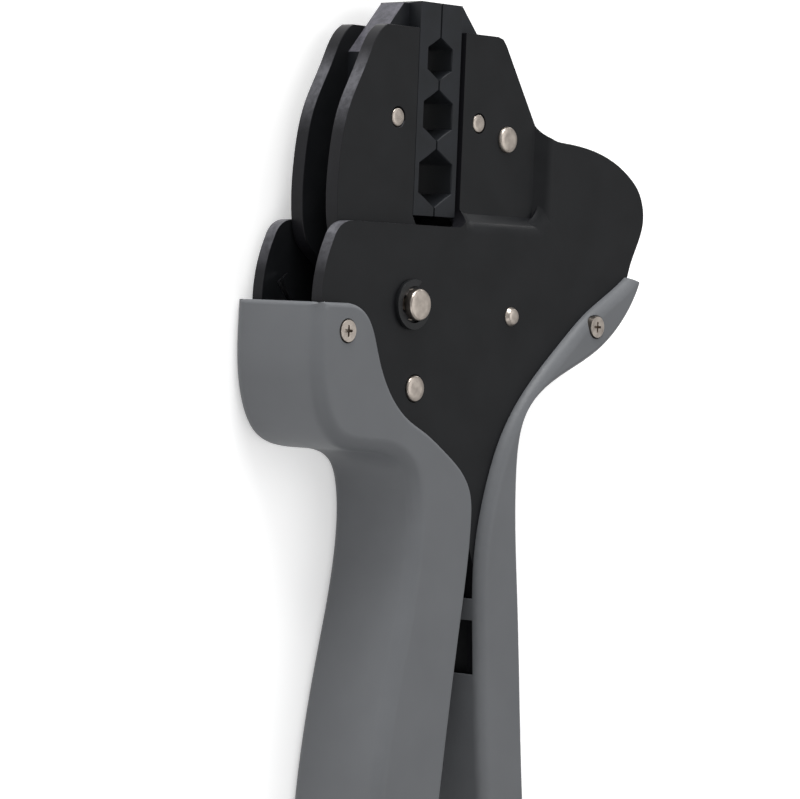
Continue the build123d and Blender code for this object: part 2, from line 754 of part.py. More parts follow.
# Names and files of the finished pieces
front_frame_plate.part.label = "front_frame_plate"
back_frame_plate.part.label = "back_frame_plate"
moving_jaw_front_plate.part.label = "moving_jaw_front_plate"
moving_jaw_back_plate.part.label = "moving_jaw_back_plate"
moving_die.part.label = "moving_die"
fixed_die.part.label = "fixed_die"
moving_die_screw.part.label = "moving_die_screw"
fixed_die_screw.part.label = "fixed_die_screw"
jaw_pivot_pin.part.label = "jaw_pivot_pin"
fixed_jaw_rivet.part.label = "fixed_jaw_rivet"
fixed_jaw_spacer.part.label = "fixed_jaw_spacer"
pawl_pivot_pin.part.label = "pawl_pivot_pin"
pawl_spacers.part.label = "pawl_spacers"
handle_shaft.part.label = "handle_shaft"
retaining_clip.part.label = "retaining_clip"
star_wheel.part.label = "star_wheel"
star_lock_screw.part.label = "star_lock_screw"
cam_lever.part.label = "cam_lever"
cam_roller.part.label = "cam_roller"
roller_pin.part.label = "roller_pin"
ratchet_pawl.part.label = "ratchet_pawl"
spring_post.part.label = "spring_post"
pawl_spring.part.label = "pawl_spring"
opening_spring.part.label = "opening_spring"
tang_spacer.part.label = "tang_spacer"
tang_rivets.part.label = "tang_rivets"
moving_grip.part.label = "moving_grip"
fixed_grip.part.label = "fixed_grip"
moving_grip_screws.part.label = "moving_grip_screws"
fixed_grip_screw.part.label = "fixed_grip_screw"
fixed_grip_nut.part.label = "fixed_grip_nut"
grip_screw_spacer.part.label = "grip_screw_spacer"
export_step(front_frame_plate.part, "parts/front_frame_plate.step")
export_step(back_frame_plate.part, "parts/back_frame_plate.step")
export_step(moving_jaw_front_plate.part, "parts/moving_jaw_front_plate.step")
export_step(moving_jaw_back_plate.part, "parts/moving_jaw_back_plate.step")
export_step(moving_die.part, "parts/moving_die.step")
export_step(fixed_die.part, "parts/fixed_die.step")
export_step(moving_die_screw.part, "parts/moving_die_screw.step")
export_step(fixed_die_screw.part, "parts/fixed_die_screw.step")
export_step(jaw_pivot_pin.part, "parts/jaw_pivot_pin.step")
export_step(fixed_jaw_rivet.part, "parts/fixed_jaw_rivet.step")
export_step(fixed_jaw_spacer.part, "parts/fixed_jaw_spacer.step")
export_step(pawl_pivot_pin.part, "parts/pawl_pivot_pin.step")
export_step(pawl_spacers.part, "parts/pawl_spacers.step")
export_step(handle_shaft.part, "parts/handle_shaft.step")
export_step(retaining_clip.part, "parts/retaining_clip.step")
export_step(star_wheel.part, "parts/star_wheel.step")
export_step(star_lock_screw.part, "parts/star_lock_screw.step")
export_step(cam_lever.part, "parts/cam_lever.step")
export_step(cam_roller.part, "parts/cam_roller.step")
export_step(roller_pin.part, "parts/roller_pin.step")
export_step(ratchet_pawl.part, "parts/ratchet_pawl.step")
export_step(spring_post.part, "parts/spring_post.step")
export_step(pawl_spring.part, "parts/pawl_spring.step")
export_step(opening_spring.part, "parts/opening_spring.step")
export_step(tang_spacer.part, "parts/tang_spacer.step")
export_step(tang_rivets.part, "parts/tang_rivets.step")
export_step(moving_grip.part, "parts/moving_grip.step")
export_step(fixed_grip.part, "parts/fixed_grip.step")
export_step(moving_grip_screws.part, "parts/moving_grip_screws.step")
export_step(fixed_grip_screw.part, "parts/fixed_grip_screw.step")
export_step(fixed_grip_nut.part, "parts/fixed_grip_nut.step")
export_step(grip_screw_spacer.part, "parts/grip_screw_spacer.step")
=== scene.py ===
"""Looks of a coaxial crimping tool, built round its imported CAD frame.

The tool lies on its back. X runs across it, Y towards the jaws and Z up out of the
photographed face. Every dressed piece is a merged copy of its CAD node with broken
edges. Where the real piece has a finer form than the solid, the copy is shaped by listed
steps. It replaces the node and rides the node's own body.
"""

import json
import logging
import math
from dataclasses import dataclass, field
from enum import Enum
from typing import Any, ClassVar, Dict, List, Optional, Tuple, Union

import bpy
from mathutils import Matrix, Vector

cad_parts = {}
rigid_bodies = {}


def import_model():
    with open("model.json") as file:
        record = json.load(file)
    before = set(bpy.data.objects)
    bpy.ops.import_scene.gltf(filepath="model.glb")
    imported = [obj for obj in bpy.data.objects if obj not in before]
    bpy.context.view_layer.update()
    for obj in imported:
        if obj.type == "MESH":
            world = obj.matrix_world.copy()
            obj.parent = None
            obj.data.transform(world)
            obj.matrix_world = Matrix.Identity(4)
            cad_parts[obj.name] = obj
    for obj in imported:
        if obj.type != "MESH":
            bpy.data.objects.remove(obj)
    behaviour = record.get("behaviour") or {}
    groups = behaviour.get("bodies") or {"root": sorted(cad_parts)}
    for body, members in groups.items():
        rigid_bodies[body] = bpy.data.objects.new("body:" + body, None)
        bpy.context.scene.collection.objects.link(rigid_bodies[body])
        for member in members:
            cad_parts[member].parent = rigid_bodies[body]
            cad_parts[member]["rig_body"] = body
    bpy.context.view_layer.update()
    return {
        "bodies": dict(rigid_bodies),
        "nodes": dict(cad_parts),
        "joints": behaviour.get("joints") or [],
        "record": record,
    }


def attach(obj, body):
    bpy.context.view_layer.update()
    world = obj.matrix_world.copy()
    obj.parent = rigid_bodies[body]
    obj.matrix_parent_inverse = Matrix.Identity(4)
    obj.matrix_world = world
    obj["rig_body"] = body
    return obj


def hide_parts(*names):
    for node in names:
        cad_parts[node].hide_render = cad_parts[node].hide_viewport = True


log = logging.getLogger("crimper")

# A place across and along the tool, a place in it or a way through it, and a range.
Axis = Tuple[float, float]
Spot = Tuple[float, float, float]
Span = Tuple[float, float]
Socket = bpy.types.NodeSocket
Tree = bpy.types.NodeTree

MM = 0.001
# The tool's box in its own millimetres. The part's frame starts at the middle of its floor.
LEFT_REACH, RIGHT_REACH = -30.7, 69.8
JAW_REACH, HEEL_REACH = 58.0, -166.0
GRIP_HALF = 11.0
CENTRE = ((LEFT_REACH + RIGHT_REACH) / 2, (JAW_REACH + HEEL_REACH) / 2)

# Room round a picked point or edge, in millimetres.
SLACK = 0.05
# A place beyond the tool, for a limit that isn't reached.
NOWHERE = 1000.0
UPWARDS = (0.0, 0.0, 1.0)
JAWWARDS = (0.0, 1.0, 0.0)
UNSCALED = (1.0, 1.0, 1.0)

# Where a Mix node keeps its share, and its two values and its result for each kind.
MIX_SHARE = 0
MIX_COLOURS, MIXED_COLOUR = (6, 7), 2
MIX_NUMBERS, MIXED_NUMBER = (2, 3), 0
WHITE = (1.0, 1.0, 1.0, 1.0)


def place(x: float, y: float, z: float) -> Vector:
    """Turn tool millimetres into a point of the part's frame.

    Args:
        x: Millimetres to the right of the tool's zero, which lies beside the handle pivot.
        y: Millimetres from that zero towards the jaws.
        z: Millimetres in front of the middle plane.

    Returns:
        The point in metres.
    """
    return Vector(((x - CENTRE[0]) * MM, (y - CENTRE[1]) * MM, (z + GRIP_HALF) * MM))


def linear(code: str) -> Tuple[float, float, float, float]:
    """Turn an sRGB hex colour into linear light.

    Args:
        code: Six hex digits, such as "6D6F71".

    Returns:
        Red, green, blue and a full alpha.
    """
    out = []
    for start in (0, 2, 4):
        value = int(code[start:start + 2], 16) / 255
        out.append(value / 12.92 if value <= 0.04045 else ((value + 0.055) / 1.055) ** 2.4)
    return (out[0], out[1], out[2], 1.0)


def node(tree: Tree, kind: str, links: Optional[Dict[Union[str, int], Any]] = None,
         **settings: Any) -> bpy.types.Node:
    """Add a node with its settings, input values and links.

    Args:
        tree: The material's node tree.
        kind: The node's type name.
        links: Input by name or number, to an output socket or to a plain value.
        **settings: Properties of the node itself.

    Returns:
        The new node.
    """
    made = tree.nodes.new(kind)
    for name, value in settings.items():
        setattr(made, name, value)
    for name, value in (links or {}).items():
        if isinstance(value, Socket):
            tree.links.new(value, made.inputs[name])
        else:
            made.inputs[name].default_value = value
    return made


class Pick(Enum):
    """What is picked of a mesh in edit mode."""

    POINTS = "VERT"
    EDGES = "EDGE"
    FACES = "FACE"


class Slot(Enum):
    """The record's material slots."""

    BLACK = "steel_black"
    DIE = "die_steel"
    BRIGHT = "bright_steel"
    SPRING = "spring_steel"
    DARK = "dark_steel"
    GRIP = "grip_plastic"


@dataclass(frozen=True)
class RimAndSheen:
    """How the rims that stand upright on a plate look, and where a painted highlight lightens
    them.

    Attributes:
        rim: Colour of the rims, as hex.
        sheen: Colour of the painted highlight on the rims, as hex.
        rough: Roughness of the rims.
        left: The painted highlight lies only to the left of this place across the tool, in mm.
        end: The painted highlight fades out from this place towards the jaws, in mm.
        fade: Over how many millimetres it fades out.
        upright: Lean of a normal on a full rim, and on a face.
        ahead: How far towards the jaws a rim looks where the painted highlight starts and is
            full.
        patch_mm: Size of the patches that break up the painted highlight.
        patch_detail: How many finer sizes the patches' noise has.
        patch_rough: How strong those are.
        patch_span: Share of the noise over which a patch grows.
        patch_least: How strong the painted highlight is between the patches.
    """

    rim: str
    sheen: str
    rough: float
    left: float
    end: float = NOWHERE
    fade: float = 5.0
    upright: Span = (0.15, 0.6)
    ahead: Span = (0.2, 0.55)
    patch_mm: float = 1.6
    patch_detail: float = 5.0
    patch_rough: float = 0.7
    patch_span: Span = (0.38, 0.6)
    patch_least: float = 0.5

    def masks(self, tree: Tree) -> Tuple[Socket, Socket]:
        """Find the rims, and where they get the painted highlight.

        Args:
            tree: The material's node tree.

        Returns:
            A socket that is 1 on a rim, and one that is 1 where the painted highlight is full.
        """
        spot = node(tree, "ShaderNodeTexCoord")
        axis = node(tree, "ShaderNodeSeparateXYZ", {"Vector": spot.outputs["Normal"]})
        steep = node(tree, "ShaderNodeMath", {0: axis.outputs["Z"]}, operation="ABSOLUTE")
        flank = node(tree, "ShaderNodeMapRange", {
            "Value": steep.outputs[0], "From Min": self.upright[0],
            "From Max": self.upright[1], "To Min": 1.0, "To Max": 0.0,
        })
        # Noise breaks the painted highlight into patches.
        sheen_noise = node(tree, "ShaderNodeTexNoise", {
            "Vector": spot.outputs["Object"], "Scale": 1 / (self.patch_mm * MM),
            "Detail": self.patch_detail, "Roughness": self.patch_rough,
        })
        patch = node(tree, "ShaderNodeMapRange", {
            "Value": sheen_noise.outputs["Fac"], "From Min": self.patch_span[0],
            "From Max": self.patch_span[1], "To Min": self.patch_least, "To Max": 1.0,
        })
        # Painted highlight: rims that look towards the jaws are lightened in their colour.
        ahead = node(tree, "ShaderNodeMapRange", {
            "Value": axis.outputs["Y"], "From Min": self.ahead[0],
            "From Max": self.ahead[1], "To Min": 0.0, "To Max": 1.0,
        })
        sheen_share = node(tree, "ShaderNodeMath", {
            0: patch.outputs["Result"], 1: ahead.outputs["Result"],
        }, operation="MULTIPLY")
        across = node(tree, "ShaderNodeSeparateXYZ", {"Vector": spot.outputs["Object"]})
        left = node(tree, "ShaderNodeMath", {
            0: across.outputs["X"], 1: place(self.left, 0.0, 0.0).x,
        }, operation="LESS_THAN")
        on_left = node(tree, "ShaderNodeMath", {
            0: sheen_share.outputs[0], 1: left.outputs[0],
        }, operation="MULTIPLY")
        short = node(tree, "ShaderNodeMapRange", {
            "Value": across.outputs["Y"], "From Min": place(0.0, self.end, 0.0).y,
            "From Max": place(0.0, self.end + self.fade, 0.0).y, "To Min": 1.0, "To Max": 0.0,
        })
        faded = node(tree, "ShaderNodeMath", {
            0: on_left.outputs[0], 1: short.outputs["Result"],
        }, operation="MULTIPLY")
        return flank.outputs["Result"], faded.outputs[0]


@dataclass(frozen=True)
class Finish:
    """A surface finish with a faint mottle, a fine grain and a shallow relief.

    Attributes:
        name: The real material's name.
        slot: The record's slot. Not used.
        pale: Lighter tone of the mottle, as hex.
        dark: Darker tone of the mottle, as hex.
        metallic: How far the surface reflects as bare metal.
        rough: Mean roughness.
        rough_spread: How far roughness wanders over the mottle.
        mottle_mm: Size of the mottle.
        grain_mm: Size of the grain in the relief.
        relief_mm: Height of the relief.
        stretch: Grain stretch along X, Y and Z, above 1 is finer.
        ior: Refractive index of a coat or plastic. A metal keeps the default.
        gloss: Strength of the plain reflection, 0.5 is a clean coat.
        rim_and_sheen: Look of the sheared rims with their painted highlight, or nothing where
            they match.
    """

    name: str
    slot: Slot
    pale: str
    dark: str
    metallic: float
    rough: float
    rough_spread: float
    mottle_mm: float
    grain_mm: float
    relief_mm: float
    stretch: Spot = UNSCALED
    ior: float = 1.5
    gloss: float = 0.5
    rim_and_sheen: Optional[RimAndSheen] = None

    # Shares of the noise over which the tone and the roughness run.
    TONE_SPAN: ClassVar[Span] = (0.35, 0.65)
    ROUGH_SPAN: ClassVar[Span] = (0.3, 0.7)
    # Detail and roughness of the two noises, and how strongly the grain shows.
    MOTTLE_NOISE: ClassVar[Span] = (3.0, 0.5)
    GRAIN_NOISE: ClassVar[Span] = (2.0, 0.6)
    GRAIN_SHOWS: ClassVar[float] = 0.6

    def build(self) -> bpy.types.Material:
        """Make the material's node tree.

        Returns:
            The finished material.
        """
        made = bpy.data.materials.new(self.name)
        made.use_nodes = True
        tree = made.node_tree
        tree.nodes.clear()
        spot = node(tree, "ShaderNodeTexCoord").outputs["Object"]
        mottle = node(tree, "ShaderNodeTexNoise", {
            "Vector": spot, "Scale": 1 / (self.mottle_mm * MM),
            "Detail": self.MOTTLE_NOISE[0], "Roughness": self.MOTTLE_NOISE[1],
        })
        stretched = node(tree, "ShaderNodeMapping", {"Vector": spot, "Scale": self.stretch})
        grain = node(tree, "ShaderNodeTexNoise", {
            "Vector": stretched.outputs["Vector"], "Scale": 1 / (self.grain_mm * MM),
            "Detail": self.GRAIN_NOISE[0], "Roughness": self.GRAIN_NOISE[1],
        })
        tone = self._tone(tree, mottle)
        wander = node(tree, "ShaderNodeMapRange", {
            "Value": mottle.outputs["Fac"],
            "From Min": self.ROUGH_SPAN[0], "From Max": self.ROUGH_SPAN[1],
            "To Min": self.rough - self.rough_spread, "To Max": self.rough + self.rough_spread,
        })
        rough = wander.outputs["Result"]
        # Rims take their own tone and roughness, and a painted highlight where they face the
        # jaws.
        if self.rim_and_sheen:
            on_rim, sheen_share = self.rim_and_sheen.masks(tree)
            low, high = MIX_COLOURS
            edge = node(tree, "ShaderNodeMix", {
                MIX_SHARE: sheen_share, low: linear(self.rim_and_sheen.rim), high: linear(self.rim_and_sheen.sheen),
            }, data_type="RGBA")
            tone = node(tree, "ShaderNodeMix", {
                MIX_SHARE: on_rim, low: tone, high: edge.outputs[MIXED_COLOUR],
            }, data_type="RGBA").outputs[MIXED_COLOUR]
            low, high = MIX_NUMBERS
            rough = node(tree, "ShaderNodeMix", {
                MIX_SHARE: on_rim, low: rough, high: self.rim_and_sheen.rough,
            }, data_type="FLOAT").outputs[MIXED_NUMBER]
        bump = node(tree, "ShaderNodeBump", {
            "Height": grain.outputs["Fac"], "Distance": self.relief_mm * MM,
            "Strength": self.GRAIN_SHOWS,
        })
        shader = node(tree, "ShaderNodeBsdfPrincipled", {
            "Base Color": tone, "Metallic": self.metallic,
            "Roughness": rough, "Normal": bump.outputs["Normal"],
        })
        if not self.metallic:
            shader.inputs["IOR"].default_value = self.ior
            shader.inputs["Specular IOR Level"].default_value = self.gloss
        node(tree, "ShaderNodeOutputMaterial", {"Surface": shader.outputs["BSDF"]})
        return made

    def _tone(self, tree: Tree, mottle: bpy.types.Node) -> Socket:
        """Blend the two tones over the mottle.

        Args:
            tree: The material's node tree.
            mottle: The noise that drives the blend.

        Returns:
            The colour socket.
        """
        ramp = node(tree, "ShaderNodeValToRGB", {"Fac": mottle.outputs["Fac"]})
        ends = zip(ramp.color_ramp.elements, self.TONE_SPAN, (self.dark, self.pale))
        for element, at, tone in ends:
            element.position = at
            element.color = linear(tone)
        return ramp.outputs["Color"]


# Each grain below is drawn some tenths of a millimetre wide. The real one, of blasting,
# grinding, tumbling or moulding, is finer than the render shows.

# Punched plate steel, blackened in hot oxide and oiled: near black and satin, with a faint
# cloud. Its sheared rims are a shade duller, with a grey painted highlight where they face the
# jaws.
BLACK_OXIDE = Finish(
    "black_oxide_plate_steel", Slot.BLACK, pale="1A1B1D", dark="151618",
    metallic=0.0, rough=0.42, rough_spread=0.04,
    mottle_mm=9.0, grain_mm=0.35, relief_mm=0.006, ior=1.45, gloss=0.17,
    rim_and_sheen=RimAndSheen(rim="18181B", sheen="626267", rough=0.35, left=5.0, end=43.5),
)
# Ground and phosphated die steel: a shade lighter and duller than the plates, with grinding
# lines across it and a painted highlight on the slant at the moving die's end.
PHOSPHATE = Finish(
    "phosphated_die_steel", Slot.DIE, pale="232529", dark="1D1F22",
    metallic=0.0, rough=0.5, rough_spread=0.05,
    mottle_mm=4.0, grain_mm=0.25, relief_mm=0.008, stretch=(1.0, 3.0, 1.0), ior=1.45, gloss=0.2,
    rim_and_sheen=RimAndSheen(rim="1D1F22", sheen="5C5B62", rough=0.4, left=0.75),
)
# Nickel plate on turned and tumbled pins and screws: warm silver with a soft gloss.
NICKEL = Finish(
    "nickel_plated_steel", Slot.BRIGHT, pale="BAB1A8", dark="A59C94",
    metallic=1.0, rough=0.32, rough_spread=0.05,
    mottle_mm=1.5, grain_mm=0.2, relief_mm=0.004,
)
# Oil-tempered spring wire, left as drawn: dark grey with a thin gloss.
SPRING_WIRE = Finish(
    "oil_tempered_spring_wire", Slot.SPRING, pale="6A6B6E", dark="55565A",
    metallic=1.0, rough=0.35, rough_spread=0.05,
    mottle_mm=2.0, grain_mm=0.2, relief_mm=0.004,
)
# Hardened tool steel, left dark from the quench oil: near black, a little glossier than oxide.
QUENCHED = Finish(
    "quenched_tool_steel", Slot.DARK, pale="1E1F21", dark="17181A",
    metallic=0.0, rough=0.4, rough_spread=0.06,
    mottle_mm=5.0, grain_mm=0.3, relief_mm=0.006, ior=1.45, gloss=0.3,
)
# Glass-filled nylon, moulded in a fine spark-eroded tool: mid grey, satin, faintly clouded.
NYLON = Finish(
    "moulded_grey_nylon", Slot.GRIP, pale="65676A", dark="616366",
    metallic=0.0, rough=0.5, rough_spread=0.04,
    mottle_mm=14.0, grain_mm=0.45, relief_mm=0.01, ior=1.5, gloss=0.3,
)


def clear_selection() -> None:
    """Leave edit mode and deselect every object."""
    if bpy.context.object is not None and bpy.context.object.mode != "OBJECT":
        bpy.ops.object.mode_set(mode="OBJECT")
    for item in bpy.context.selected_objects:
        item.select_set(False)


def take(item: bpy.types.Object) -> None:
    """Make one object the only selected and active one.

    Args:
        item: The object.
    """
    clear_selection()
    item.select_set(True)
    bpy.context.view_layer.objects.active = item


def start_picking(kind: Pick) -> None:
    """Deselect all of the edited mesh, and leave edit mode to pick by place or normal.

    Args:
        kind: What is going to be picked.
    """
    bpy.ops.mesh.select_mode(type=kind.value)
    bpy.ops.mesh.select_all(action="DESELECT")
    bpy.ops.object.mode_set(mode="OBJECT")


def inside(point: Vector, low: Vector, high: Vector) -> bool:
    """Tell whether a point lies in a box.

    Args:
        point: The point.
        low: Lowest corner of the box.
        high: Highest corner of the box.

    Returns:
        Whether it does.
    """
    return all(low[i] <= point[i] <= high[i] for i in range(3))


@dataclass(frozen=True)
class Nudge:
    """Points of a dressed copy that are moved, or drawn in or out.

    Attributes:
        low: Lowest corner of the box that holds the points, in tool millimetres.
        high: Highest corner of that box.
        move: How far they move, in millimetres.
        spread: How much they are scaled along X, Y and Z.
        about: Centre of that scaling, in tool millimetres.
    """

    low: Spot
    high: Spot
    move: Spot = (0.0, 0.0, 0.0)
    spread: Spot = UNSCALED
    about: Spot = (0.0, 0.0, 0.0)

    def apply(self, item: bpy.types.Object) -> None:
        """Select the points and transform them.

        Args:
            item: The copy, active and in edit mode.
        """
        low, high = place(*self.low), place(*self.high)
        start_picking(Pick.POINTS)
        held = 0
        for point in item.data.vertices:
            point.select = inside(point.co, low, high)
            held += point.select
        bpy.ops.object.mode_set(mode="EDIT")
        log.info("nudge on %s holds %d points", item.name, held)
        if not held:
            return
        if any(self.move):
            bpy.ops.transform.translate(value=[step * MM for step in self.move])
        if self.spread != UNSCALED:
            bpy.ops.transform.resize(value=self.spread, center_override=place(*self.about))


@dataclass(frozen=True)
class SoftEdge:
    """A bend or lip of a dressed copy that gets a wide rounding.

    Attributes:
        low: Lowest corner of the box that holds its edges, in tool millimetres.
        high: Highest corner of that box.
        flat: Way that the flat face beside the edges looks.
        lean: Least and most that the other face looks that way.
        width: Width of the rounding in millimetres.
        strips: How many strips it has.
    """

    low: Spot
    high: Spot
    flat: Spot
    lean: Span
    width: float
    strips: int

    # Least that a face looks the flat way to count as flat.
    FLAT_ENOUGH: ClassVar[float] = 0.995

    def apply(self, item: bpy.types.Object) -> None:
        """Select the edges between the flat face and the leaning ones and round them.

        Args:
            item: The copy, active and in edit mode.
        """
        low, high, flat = place(*self.low), place(*self.high), Vector(self.flat)
        start_picking(Pick.EDGES)
        beside: Dict[Tuple[int, int], List[float]] = {}
        for face in item.data.polygons:
            for key in face.edge_keys:
                beside.setdefault(key, []).append(face.normal.dot(flat))
        held = 0
        for edge in item.data.edges:
            looks = sorted(beside[edge.key])
            leans = self.lean[0] <= looks[0] <= self.lean[1] and looks[-1] > self.FLAT_ENOUGH
            boxed = all(inside(item.data.vertices[at].co, low, high) for at in edge.vertices)
            edge.select = boxed and len(looks) == 2 and leans
            held += edge.select
        bpy.ops.object.mode_set(mode="EDIT")
        log.info("soft edge on %s holds %d edges", item.name, held)
        if held:
            bpy.ops.mesh.bevel(offset=self.width * MM, segments=self.strips, affect="EDGES")


@dataclass(frozen=True)
class Crown:
    """The front end of a pin, set in a little and raised in the middle.

    Attributes:
        at: Axis of the pin in tool millimetres.
        radius: Radius of its end.
        rise: How far the middle stands up.
        tilt: Degrees by which the middle leans.
        toward: Degrees round the axis towards which it leans.
    """

    at: Axis
    radius: float
    rise: float
    tilt: float
    toward: float

    # Least that a face of the end looks up, its depth in millimetres, and the inset as a
    # share of the radius.
    UP_ENOUGH: ClassVar[float] = 0.99
    END_DEPTH: ClassVar[float] = 0.01
    INSET: ClassVar[float] = 0.34

    def apply(self, item: bpy.types.Object) -> None:
        """Inset the end face, raise its middle and lean it.

        Args:
            item: The copy, active and in edit mode.
        """
        axis = place(*self.at, 0.0)
        start_picking(Pick.FACES)
        near = []
        for face in item.data.polygons:
            away = math.hypot(face.center.x - axis.x, face.center.y - axis.y)
            if face.normal.z > self.UP_ENOUGH and away < self.radius * MM:
                near.append(face)
        top = max((face.center.z for face in near), default=0.0)
        for face in near:
            face.select = face.center.z > top - self.END_DEPTH * MM
        bpy.ops.object.mode_set(mode="EDIT")
        bpy.ops.mesh.inset(thickness=self.radius * self.INSET * MM)
        bpy.ops.transform.translate(value=(0.0, 0.0, self.rise * MM))
        turn = math.radians(self.toward)
        lean = Vector((-math.sin(turn), math.cos(turn), 0.0))
        bpy.ops.transform.rotate(
            value=math.radians(self.tilt), orient_axis="Z", orient_type="GLOBAL",
            orient_matrix=lean.to_track_quat("Z", "Y").to_matrix(),
            orient_matrix_type="GLOBAL", center_override=(axis.x, axis.y, top))


Step = Union[Nudge, SoftEdge, Crown]


@dataclass(frozen=True)
class PinEnd:
    """The front end of a pin, rivet or screw, as it is seen in its hole.

    Attributes:
        name: The pin's CAD node.
        at: Axis in tool millimetres.
        radius: Radius of the end.
        gap: How far the end is drawn in, so that the hole shows round it.
        rise: How far the middle stands up.
        tilt: Degrees by which the middle leans.
        toward: Degrees round the axis towards which it leans.
    """

    name: str
    at: Axis
    radius: float
    gap: float
    rise: float
    tilt: float
    toward: float

    # From inside the front plate to in front of it, and the room round the end, in mm.
    FRONT: ClassVar[Span] = (4.5, 12.0)
    MIDDLE: ClassVar[float] = 6.0
    ROOM: ClassVar[float] = 0.1

    def steps(self) -> Tuple[Step, ...]:
        """Draw the end in, if it has a gap, and crown it.

        Returns:
            What is shaped.
        """
        crown = Crown(self.at, self.radius, self.rise, self.tilt, self.toward)
        if not self.gap:
            return (crown,)
        (x, y), radius = self.at, self.radius
        share = (radius - self.gap) / radius
        drawn = Nudge((x - radius - self.ROOM, y - radius - self.ROOM, self.FRONT[0]),
                      (x + radius + self.ROOM, y + radius + self.ROOM, self.FRONT[1]),
                      spread=(share, share, 1.0), about=(x, y, self.MIDDLE))
        return (drawn, crown)


@dataclass
class Workshop:
    """Makes dressed copies of CAD nodes.

    Attributes:
        materials: The built materials by name.
    """

    frame: Dict[str, Any]
    materials: Dict[str, bpy.types.Material] = field(default_factory=dict)

    # Points nearer than this, in mm, are one. Faces that turn less than this, in degrees,
    # are one, and edges that turn more than this are broken, in this many strips.
    MERGE_MM: ClassVar[float] = 0.002
    ONE_FACE: ClassVar[float] = 0.6
    SHARP: ClassVar[float] = 38.0
    EDGE_STRIPS: ClassVar[int] = 2
    # Pull of the large faces on the normals beside them.
    FACE_PULL: ClassVar[int] = 80

    def material(self, finish: Finish) -> bpy.types.Material:
        """Build a finish once and keep it.

        Args:
            finish: The finish.

        Returns:
            Its material.
        """
        if finish.name not in self.materials:
            self.materials[finish.name] = finish.build()
        return self.materials[finish.name]

    def settle(self, item: bpy.types.Object, body: str, finish: Finish) -> None:
        """Coat a piece and let it ride a body.

        Args:
            item: The piece, with its place in its mesh.
            body: The CAD body.
            finish: The finish.
        """
        item.data.materials.clear()
        item.data.materials.append(self.material(finish))
        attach(item, body)
        log.info("piece %s on %s: %d faces", item.name, body, len(item.data.polygons))

    def dress(self, name: str, finish: Finish, edge_mm: float, smooth: float = 32.0,
              steps: Tuple[Step, ...] = ()) -> None:
        """Replace a CAD node by a copy that is merged, shaped, edge-broken and smoothed.

        Args:
            name: The CAD node.
            finish: The finish.
            edge_mm: Width of the broken edges, or 0 for none.
            smooth: Edges flatter than this many degrees are shaded smooth.
            steps: What is shaped before the edges are broken.
        """
        source = self.frame["nodes"][name]
        item = bpy.data.objects.new("dressed_" + name, source.data.copy())
        bpy.context.scene.collection.objects.link(item)
        take(item)
        bpy.ops.object.mode_set(mode="EDIT")
        bpy.ops.mesh.select_all(action="SELECT")
        bpy.ops.mesh.remove_doubles(threshold=self.MERGE_MM * MM)
        bpy.ops.mesh.customdata_custom_splitnormals_clear()
        # Points are nudged while every triangle is there, and edges picked on whole faces.
        for step in steps:
            if isinstance(step, Nudge):
                step.apply(item)
        bpy.ops.mesh.select_all(action="SELECT")
        bpy.ops.mesh.dissolve_limited(angle_limit=math.radians(self.ONE_FACE))
        for step in steps:
            if not isinstance(step, Nudge):
                step.apply(item)
        bpy.ops.object.mode_set(mode="OBJECT")
        if edge_mm:
            bevel = item.modifiers.new("broken_edges", "BEVEL")
            bevel.width = edge_mm * MM
            bevel.segments = self.EDGE_STRIPS
            bevel.limit_method = "ANGLE"
            bevel.angle_limit = math.radians(self.SHARP)
            bevel.harden_normals = False
            bpy.ops.object.modifier_apply(modifier=bevel.name)
        bpy.ops.object.shade_smooth_by_angle(angle=math.radians(smooth))
        flat = item.modifiers.new("flat_faces", "WEIGHTED_NORMAL")
        flat.keep_sharp = True
        flat.weight = self.FACE_PULL
        bpy.ops.object.modifier_apply(modifier=flat.name)
        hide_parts(name)
        self.settle(item, source["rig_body"], finish)


